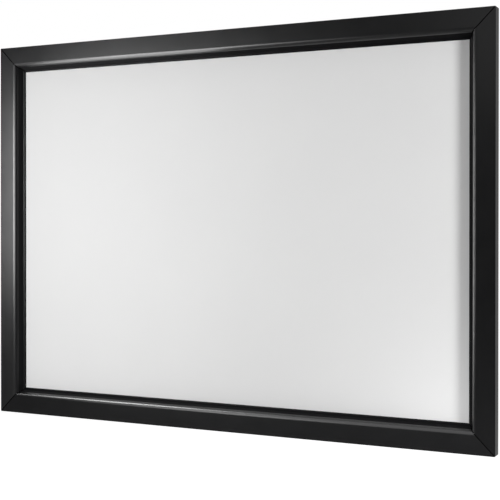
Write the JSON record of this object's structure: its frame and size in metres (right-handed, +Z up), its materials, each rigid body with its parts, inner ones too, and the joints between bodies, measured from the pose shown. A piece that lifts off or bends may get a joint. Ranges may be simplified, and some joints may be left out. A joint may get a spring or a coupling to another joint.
{
  "type": "fixed frame projector screen",
  "caption": "Wall-hung projector screen: white fabric stretched flat behind a black mitred aluminium frame with a round inner shoulder.",
  "frame": {"origin": "on the wall, straight behind the middle of the picture", "axes": "+X to the viewer's right along the frame's length, +Y back into the wall, +Z up"},
  "size_m": [1.66, 0.038, 1.21],
  "materials": {
    "frame_coating": "satin black coating on extruded aluminium",
    "screen_fabric": "matte white coated projection fabric with a dark back",
    "sleeve_fabric": "dark welded fabric strip",
    "glass_fibre": "pale glass fibre rod",
    "clip_plastic": "moulded black plastic",
    "zinc_steel": "zinc plated steel plate",
    "screw_steel": "black oxide steel",
    "bracket_coating": "black powder coated steel"
  },
  "bodies": {
    "root": {"frame_left_bar": "frame_coating", "frame_top_rail": "frame_coating", "frame_right_bar": "frame_coating", "frame_bottom_rail": "frame_coating", "projection_fabric": "screen_fabric", "fabric_sleeve_left": "sleeve_fabric", "fabric_sleeve_top": "sleeve_fabric", "fabric_sleeve_right": "sleeve_fabric", "fabric_sleeve_bottom": "sleeve_fabric", "tension_rod_left": "glass_fibre", "tension_rod_top": "glass_fibre", "tension_rod_right": "glass_fibre", "tension_rod_bottom": "glass_fibre", "tension_clip_left_1": "clip_plastic", "tension_clip_left_2": "clip_plastic", "tension_clip_left_3": "clip_plastic", "tension_clip_left_4": "clip_plastic", "tension_clip_top_1": "clip_plastic", "tension_clip_top_2": "clip_plastic", "tension_clip_top_3": "clip_plastic", "tension_clip_top_4": "clip_plastic", "tension_clip_top_5": "clip_plastic", "tension_clip_top_6": "clip_plastic", "tension_clip_top_7": "clip_plastic", "tension_clip_right_1": "clip_plastic", "tension_clip_right_2": "clip_plastic", "tension_clip_right_3": "clip_plastic", "tension_clip_right_4": "clip_plastic", "tension_clip_bottom_1": "clip_plastic", "tension_clip_bottom_2": "clip_plastic", "tension_clip_bottom_3": "clip_plastic", "tension_clip_bottom_4": "clip_plastic", "tension_clip_bottom_5": "clip_plastic", "tension_clip_bottom_6": "clip_plastic", "tension_clip_bottom_7": "clip_plastic", "corner_plate_bottom_left": "zinc_steel", "corner_plate_top_left": "zinc_steel", "corner_plate_top_right": "zinc_steel", "corner_plate_bottom_right": "zinc_steel", "set_screw_bottom_left_1": "screw_steel", "set_screw_bottom_left_2": "screw_steel", "set_screw_bottom_left_3": "screw_steel", "set_screw_bottom_left_4": "screw_steel", "set_screw_top_left_1": "screw_steel", "set_screw_top_left_2": "screw_steel", "set_screw_top_left_3": "screw_steel", "set_screw_top_left_4": "screw_steel", "set_screw_top_right_1": "screw_steel", "set_screw_top_right_2": "screw_steel", "set_screw_top_right_3": "screw_steel", "set_screw_top_right_4": "screw_steel", "set_screw_bottom_right_1": "screw_steel", "set_screw_bottom_right_2": "screw_steel", "set_screw_bottom_right_3": "screw_steel", "set_screw_bottom_right_4": "screw_steel", "wall_bracket_top_left": "bracket_coating", "wall_bracket_top_right": "bracket_coating", "wall_bracket_bottom_left": "bracket_coating", "wall_bracket_bottom_right": "bracket_coating"}
  },
  "joints": []
}
